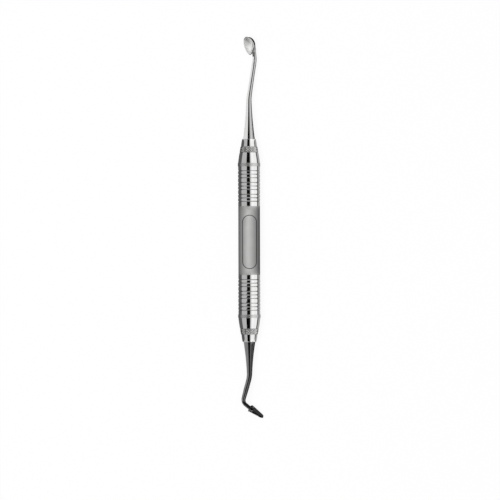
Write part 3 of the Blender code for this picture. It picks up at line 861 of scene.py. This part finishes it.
def knurl_level(co):
    """Steps down from a diamond's flat top to here, or 0 off the knurl."""
    radius = math.hypot(co.y, co.z)
    if not knurl_in - HAIR < co.x < knurl_out + HAIR:
        return 0
    row = round((co.x - knurl_in) / knurl_step)
    crest = between(KNURL_BIG_RADIUS, KNURL_SMALL_RADIUS, row / KNURL_ROWS)
    if abs(radius - crest) > HAIR:
        return 0
    column = round(math.atan2(co.y, co.z) / (math.tau / LATHE_STEPS))
    across = (row + KNURL_HALF // 2) % (2 * KNURL_HALF)
    along = column % (2 * KNURL_HALF)
    across, along = min(across, 2 * KNURL_HALF - across), min(along, 2 * KNURL_HALF - along)
    level = min(across + along, 2 * KNURL_HALF - across - along)
    from_end = min(row, KNURL_ROWS - row)
    return max(level - KNURL_FLAT, KNURL_HALF - KNURL_FLAT - from_end, 0)


shape = bmesh.from_edit_mesh(handle.data)
levels = {}
for vert in shape.verts:
    level = knurl_level(vert.co)
    if level:
        levels.setdefault(level, set()).add(vert.co.to_tuple(9))
for level, places in sorted(levels.items()):
    select_verts(handle, lambda co, places=places: co.to_tuple(9) in places)
    middle_radius = (KNURL_BIG_RADIUS + KNURL_SMALL_RADIUS) / 2
    shrink = 1 - KNURL_DEPTH * level / (KNURL_HALF - KNURL_FLAT) / middle_radius
    bpy.ops.transform.resize(value=(1.0, shrink, shrink), center_override=(0.0, 0.0, 0.0))
select_faces(handle, is_knurled)
bpy.ops.mesh.quads_convert_to_tris(quad_method="SHORTEST_DIAGONAL")
bpy.ops.mesh.faces_shade_flat()
handle.active_material_index = 2
bpy.ops.object.material_slot_assign()
paint_faces(handle, 1, is_blasted)
finish_solid()

mirror = handle.modifiers.new("other_end", "MIRROR")
mirror.merge_threshold = HAIR
bpy.ops.object.modifier_apply(modifier=mirror.name)
bpy.ops.object.shade_smooth_by_angle(angle=HANDLE_SMOOTH)
settle(handle)
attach(handle, "root")
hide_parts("handle")

# Spoon end: a steel bar turned down to a slim shank, bent back and forth in one plane and polished all over,
# with its tang pressed in the handle. At its tip a thin egg-shaped cup is forged and ground, open away from
# the neck.
BENDING_PLANE_TILT = math.radians(37.185)
TANG_RADIUS = 2.1 * MM
TANG_LENGTH = 11.5 * MM
SHANK_RADIUS = 2.55 * MM
SHANK_AROUND = 64
SHANK_STEP = 0.8 * MM
BEND_STEP = math.radians(3.0)
SHOULDER_GAP = 0.02 * MM
SHANK_SMOOTH = math.radians(35)

SPOON_TAPER_LENGTH = 30.0 * MM
SPOON_TAPER_POWER = 2.5
SPOON_SHANK_THIN = 0.925 * MM
SPOON_NECK = 0.8 * MM
SPOON_ROOT = 1.1 * MM
SPOON_LEGS = (
    (15.9 * MM, math.radians(10.8), 16.0 * MM),
    (15.2 * MM, math.radians(-16.0), 6.0 * MM),
    (2.6 * MM, math.radians(-14.0), 9.0 * MM),
    (1.6 * MM, 0.0, 0.0),
)
BOWL_LENGTH = 8.1 * MM
BOWL_WIDTH = 5.8 * MM
BOWL_DEPTH = 3.35 * MM
BOWL_EGG = 0.17
BOWL_RIM = 0.22 * MM
BOWL_FLOOR = 0.75 * MM
BOWL_TURN = math.radians(4.7)
BOWL_AHEAD = -0.63 * MM
NECK_SINK = 0.84 * MM


def taper(run, start, end, length, power):
    """A radius that falls from start to end over a length, fast at first."""
    share = min(run / length, 1.0)
    return end + (start - end) * (1 - share) ** power


def leg_length(leg):
    """The run of a straight stretch with the bend after it."""
    straight, turn, radius = leg
    return straight + abs(turn) * radius


def shank_steps(legs):
    """The steps of a bent shank from its shoulder: how far each goes and turns, with the run so far."""
    steps = []
    heading, run = 0.0, 0.0
    for straight, turn, radius in legs:
        count = max(1, math.ceil(straight / SHANK_STEP))
        for _ in range(count):
            run += straight / count
            steps.append((heading, straight / count, 0.0, run))
        count = math.ceil(abs(turn) / BEND_STEP)
        for _ in range(count):
            part = turn / count
            run += radius * abs(part)
            steps.append((heading + part / 2, 2 * radius * math.sin(abs(part) / 2), part, run))
            heading += part
    return steps


def draw_shank(name, side, legs, radius_at):
    """Extrudes a bar from its tang to its neck in the handle's frame, bent in the XY plane towards -Y."""
    bpy.ops.object.select_all(action="DESELECT")
    shoulder = HALF_LENGTH + SHOULDER_GAP
    tang_end = HALF_LENGTH + FIT - TANG_LENGTH
    bpy.ops.mesh.primitive_circle_add(
        vertices=SHANK_AROUND,
        radius=TANG_RADIUS - FIT,
        fill_type="NGON",
        location=(side * tang_end, 0.0, 0.0),
        rotation=(0.0, side * math.pi / 2, 0.0),
    )
    shank = new_piece(name)
    bpy.ops.object.transform_apply(location=True, rotation=True, scale=True)
    bpy.ops.object.mode_set(mode="EDIT")
    bpy.ops.mesh.select_all(action="SELECT")
    point = Vector((side * tang_end, 0.0, 0.0))
    radius = TANG_RADIUS - FIT
    steps = [
        (Vector((side * FIT, 0.0, 0.0)), 0.0, TANG_RADIUS),
        (Vector((side * (shoulder - tang_end - FIT), 0.0, 0.0)), 0.0, TANG_RADIUS),
        (Vector((0.0, 0.0, 0.0)), 0.0, radius_at(0.0)),
        (Vector((side * (FIT - SHOULDER_GAP), 0.0, 0.0)), 0.0, radius_at(0.0)),
    ]
    for way, length, turn, run in shank_steps(legs):
        steps.append((Vector((side * math.cos(way), -math.sin(way), 0.0)) * length, turn, radius_at(run)))
    for step, turn, new_radius in steps:
        point = point + step
        if step.length > 0:
            bpy.ops.mesh.extrude_region_move(TRANSFORM_OT_translate={"value": step})
        else:
            bpy.ops.mesh.extrude_region_move()
        if turn:
            bpy.ops.transform.rotate(value=side * turn, orient_axis="Z", center_override=point)
        if abs(new_radius - radius) > 1e-9:
            bpy.ops.transform.resize(value=(new_radius / radius,) * 3, center_override=point)
            radius = new_radius
    finish_solid()
    bpy.ops.object.shade_smooth_by_angle(angle=SHANK_SMOOTH)
    heading = sum(turn for _, turn, _ in steps)
    return shank, point, Vector((side * math.cos(heading), -math.sin(heading), 0.0))


def spoon_radius(run):
    """The spoon's bar at a distance from its shoulder: a taper, then a slim neck, then a thicker root."""
    lengths = [leg_length(leg) for leg in SPOON_LEGS]
    neck_start = lengths[0] + SPOON_LEGS[1][0]
    neck_length = lengths[1] - SPOON_LEGS[1][0] + SPOON_LEGS[2][0]
    root_length = lengths[2] - SPOON_LEGS[2][0] + lengths[3]
    thick = taper(run, SHANK_RADIUS, SPOON_SHANK_THIN, SPOON_TAPER_LENGTH, SPOON_TAPER_POWER)
    into_neck = min(max((run - neck_start) / neck_length, 0.0), 1.0)
    into_root = max((run - neck_start - neck_length) / root_length, 0.0)
    return between(between(thick, SPOON_NECK, into_neck), SPOON_ROOT, into_root)


spoon, neck_end, neck_way = draw_shank("spoon_shank", 1, SPOON_LEGS, spoon_radius)

HOLLOW_COLOR = (0.93, 0.93, 0.925)
HOLLOW_DARK = (0.90, 0.90, 0.895)
HOLLOW_ROUGHNESS = (0.40, 0.46)


def make_hollow(name, middle):
    """The inside of the bowl, ground and brushed but not buffed."""
    material, tree, output = new_material(name)
    place = place_on(tree, middle)
    patch = use_group(tree, handling, {"Place": place, "Patch per mm": 0.5}).outputs["Patch"]
    grain = use_group(tree, blasting, {"Place": place, "Grain per mm": 12.0}).outputs["Grain"]
    color = mixed_color(tree, patch, HOLLOW_COLOR, HOLLOW_DARK)
    finish_surface(tree, output, color, spread(tree, patch, *HOLLOW_ROUGHNESS), grain, 0.1)
    return material


spoon_polish = make_polish("polished_spoon", HANDLE_MIDDLE)
spoon_hollow = make_hollow("brushed_hollow", HANDLE_MIDDLE)
spoon.data.materials.append(spoon_polish)
spoon.data.materials.append(spoon_hollow)


# The bowl: a ball pressed to size, made egg-shaped and cut in half. A smaller one cuts the hollow in it.
def half_egg(name, length, width, depth, top, material_slot):
    """The lower half of an egg-shaped ball along X, closed flat at the height top."""
    bpy.ops.object.select_all(action="DESELECT")
    bpy.ops.mesh.primitive_ico_sphere_add(subdivisions=6, radius=1.0)
    ball = new_piece(name)
    ball.data.materials.append(spoon_polish)
    ball.data.materials.append(spoon_hollow)
    ball.scale = (length / 2, width / 2, depth)
    bpy.ops.object.transform_apply(location=False, rotation=False, scale=True)
    egg = ball.modifiers.new("egg", "SIMPLE_DEFORM")
    egg.deform_method = "TAPER"
    egg.deform_axis = "X"
    egg.lock_z = True
    egg.factor = 2 * BOWL_EGG
    bpy.ops.object.modifier_apply(modifier=egg.name)
    bpy.ops.object.mode_set(mode="EDIT")
    bpy.ops.mesh.select_all(action="SELECT")
    ball.active_material_index = material_slot
    bpy.ops.object.material_slot_assign()
    bpy.ops.mesh.bisect(
        plane_co=(0.0, 0.0, top),
        plane_no=(0.0, 0.0, 1.0),
        clear_outer=True,
        use_fill=True,
        threshold=1e-8,
    )
    finish_solid()
    return ball


def cut_or_join(piece, tool, operation):
    """Applies a Boolean to a piece and takes its tool away."""
    bpy.ops.object.select_all(action="DESELECT")
    bpy.context.view_layer.objects.active = piece
    boolean = piece.modifiers.new("boolean", "BOOLEAN")
    boolean.operation = operation
    boolean.object = tool
    bpy.ops.object.modifier_apply(modifier=boolean.name)
    bpy.data.objects.remove(tool, do_unlink=True)


bowl_way = Matrix.Rotation(-BOWL_TURN, 3, "Z") @ neck_way
bowl_back = Vector((bowl_way.y, -bowl_way.x, 0.0))
bowl_place = neck_end + bowl_way * BOWL_AHEAD - bowl_back * (BOWL_DEPTH - NECK_SINK)
bowl_axes = Matrix((bowl_way, (-bowl_back).cross(bowl_way), -bowl_back)).transposed()
blank = half_egg("bowl", BOWL_LENGTH, BOWL_WIDTH, BOWL_DEPTH, 0.0, 0)
hollow = half_egg(
    "hollow",
    BOWL_LENGTH - 2 * BOWL_RIM,
    BOWL_WIDTH - 2 * BOWL_RIM,
    BOWL_DEPTH - BOWL_FLOOR,
    FIT,
    1,
)
for part in (blank, hollow):
    bpy.ops.object.select_all(action="DESELECT")
    part.select_set(True)
    bpy.context.view_layer.objects.active = part
    part.rotation_euler = bowl_axes.to_euler()
    part.location = bowl_place
    bpy.ops.object.transform_apply(location=True, rotation=True, scale=True)
cut_or_join(spoon, blank, "UNION")
cut_or_join(spoon, hollow, "DIFFERENCE")
bpy.context.view_layer.objects.active = spoon
spoon.select_set(True)
bpy.ops.object.shade_smooth_by_angle(angle=SHANK_SMOOTH)
settle(spoon, BENDING_PLANE_TILT)
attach(spoon, "root")
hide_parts("spoon_tip")

# File end: a bar like the spoon's, bent sharply at its neck, with a half-round head whose flat face has
# teeth. It is coated black all over after grinding, and its tang is pressed in the handle's other mouth.
FILE_TAPER_LENGTH = 18.5 * MM
FILE_TAPER_POWER = 2.1
FILE_SHANK_THIN = 1.1 * MM
FILE_NECK = 0.81 * MM
FILE_NECK_LEAD = 4.5 * MM
FILE_LEGS = (
    (13.2 * MM, math.radians(-19.0), 11.0 * MM),
    (7.95 * MM, math.radians(74.0), 2.3 * MM),
    (3.3 * MM, math.radians(9.9), 2.5 * MM),
    (1.0 * MM, 0.0, 0.0),
)
HEAD_LENGTH = 7.45 * MM
HEAD_WIDTH = 3.15 * MM
HEAD_THICKNESS = 2.85 * MM
TOE_WIDTH = 2.25 * MM
TOE_THICKNESS = 1.2 * MM
TOE_THINNING = 0.1
HEAD_NECK_SHARE = 0.40
HEAD_BACK_SPRING = 0.51
HEAD_AROUND = 64
HEAD_STEPS = 12
TOE_DEGREES = range(8, 89, 8)
HEAD_FIRST_TOOTH = 0.65 * MM
TOOTH_PITCH = 0.92 * MM
TOOTH_COUNT = 6
TOOTH_DEPTH = 0.22 * MM
TOOTH_STEEP = 0.18


def file_radius(run):
    """The file's bar at a distance from its shoulder: a taper, then a slim neck."""
    thick = taper(run, SHANK_RADIUS, FILE_SHANK_THIN, FILE_TAPER_LENGTH, FILE_TAPER_POWER)
    knee = leg_length(FILE_LEGS[0]) + FILE_LEGS[1][0]
    share = (run - knee + FILE_NECK_LEAD) / (FILE_NECK_LEAD + FILE_LEGS[1][1] * FILE_LEGS[1][2])
    return between(thick, FILE_NECK, min(max(share, 0.0), 1.0))


file_end, heel, head_way = draw_shank("file_shank", -1, FILE_LEGS, file_radius)
toe_start = HEAD_LENGTH - TOE_WIDTH / 2


# The head: a disc squashed to a D, its flat side down, drawn out along X and tapered to a round toe
def head_size(run):
    """Half the head's width, and its thickness, at a distance from its heel."""
    share = run / HEAD_LENGTH
    width = between(HEAD_WIDTH, TOE_WIDTH, share)
    thickness = between(HEAD_THICKNESS, TOE_THICKNESS, share)
    if run > toe_start:
        narrow = math.sqrt(max(1 - ((run - toe_start) / (TOE_WIDTH / 2)) ** 2, 0.0))
        width *= narrow
        thickness *= between(1.0, narrow, TOE_THINNING)
    return width / 2, thickness


bpy.ops.object.select_all(action="DESELECT")
bpy.ops.mesh.primitive_circle_add(
    vertices=HEAD_AROUND,
    radius=1.0,
    fill_type="NGON",
    rotation=(0.0, math.pi / 2, 0.0),
)
head = new_piece("file_head")
bpy.ops.object.transform_apply(location=True, rotation=True, scale=True)
bpy.ops.object.mode_set(mode="EDIT")
select_verts(head, lambda co: co.z < -HAIR)
bpy.ops.transform.resize(value=(1.0, 1.0, 0.0), center_override=(0.0, 0.0, 0.0))
bpy.ops.transform.translate(value=(0.0, 0.0, -HEAD_BACK_SPRING / (1 - HEAD_BACK_SPRING)))
bpy.ops.mesh.select_all(action="SELECT")
half_width, thickness = head_size(0.0)
arc_height = thickness * (1 - HEAD_BACK_SPRING)
bpy.ops.transform.resize(value=(1.0, half_width, arc_height), center_override=(0.0, 0.0, 0.0))
bpy.ops.transform.translate(value=(0.0, 0.0, thickness * HEAD_BACK_SPRING))
runs = [toe_start * index / HEAD_STEPS for index in range(1, HEAD_STEPS + 1)]
runs += [toe_start + TOE_WIDTH / 2 * math.sin(math.radians(degrees)) for degrees in TOE_DEGREES]
last_run = 0.0
for run in runs:
    bpy.ops.mesh.extrude_region_move(TRANSFORM_OT_translate={"value": (run - last_run, 0.0, 0.0)})
    new_half, new_thickness = head_size(run)
    ratio = (1.0, new_half / half_width, new_thickness / thickness)
    bpy.ops.transform.resize(value=ratio, center_override=(0.0, 0.0, 0.0))
    half_width, thickness, last_run = new_half, new_thickness, run
finish_solid()

# The teeth: one saw-shaped cutter across the face, steep towards the heel and sloping towards the toe
CREST_DOWN = 0.02 * MM
CUTTER_DROP = 0.6 * MM
CUTTER_START = 0.1 * MM
WORN_WIDTH = 0.04 * MM
WORN_ANGLE = math.radians(30)
corners = [(CUTTER_START, -CUTTER_DROP), (HEAD_FIRST_TOOTH - TOOTH_STEEP * TOOTH_PITCH, 0.0)]
for index in range(TOOTH_COUNT):
    root = HEAD_FIRST_TOOTH + index * TOOTH_PITCH
    corners += [(root, TOOTH_DEPTH), (root + (1 - TOOTH_STEEP) * TOOTH_PITCH, CREST_DOWN)]
corners += [(toe_start, 0.0), (toe_start, -CUTTER_DROP)]
bpy.ops.object.select_all(action="DESELECT")
bpy.ops.mesh.primitive_plane_add(size=1.0 * MM)
cutter = new_piece("tooth_cutter")
bpy.ops.object.mode_set(mode="EDIT")
draw_line([Vector((place, -HEAD_WIDTH, height)) for place, height in corners])
bpy.ops.mesh.edge_face_add()
bpy.ops.mesh.extrude_region_move(TRANSFORM_OT_translate={"value": (0.0, 2 * HEAD_WIDTH, 0.0)})
finish_solid()

cut_or_join(head, cutter, "DIFFERENCE")
worn = head.modifiers.new("worn_edges", "BEVEL")
worn.width = WORN_WIDTH
worn.segments = 2
worn.limit_method = "ANGLE"
worn.angle_limit = WORN_ANGLE
bpy.ops.object.modifier_apply(modifier=worn.name)

head_face = Vector((head_way.y, -head_way.x, 0.0))
head_face = -head_face if head_face.x > 0 else head_face
head_axes = Matrix((head_way, head_way.cross(head_face), -head_face)).transposed()
head.rotation_euler = head_axes.to_euler()
head.location = heel - head_way * FILE_LEGS[-1][0] + head_face * HEAD_THICKNESS * HEAD_NECK_SHARE
head.select_set(True)
bpy.ops.object.transform_apply(location=True, rotation=True, scale=True)
cut_or_join(file_end, head, "UNION")
file_end.select_set(True)
bpy.ops.object.shade_smooth_by_angle(angle=SHANK_SMOOTH)

COATING_COLOR = (0.17, 0.17, 0.175)
COATING_WORN = (0.21, 0.21, 0.215)
COATING_ROUGHNESS = (0.08, 0.14)


def make_coating(name, middle):
    """A hard black coating over ground steel, a little thinner and greyer where hands and cleaning rub it."""
    material, tree, output = new_material(name)
    place = place_on(tree, middle)
    patch = use_group(tree, handling, {"Place": place, "Patch per mm": 0.6}).outputs["Patch"]
    grain = use_group(tree, blasting, {"Place": place, "Grain per mm": 14.0}).outputs["Grain"]
    color = mixed_color(tree, patch, COATING_COLOR, COATING_WORN)
    finish_surface(tree, output, color, spread(tree, patch, *COATING_ROUGHNESS), grain, 0.05)
    return material


file_end.data.materials.append(make_coating("black_coating", HANDLE_MIDDLE))
settle(file_end, BENDING_PLANE_TILT)
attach(file_end, "root")
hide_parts("file_tip")
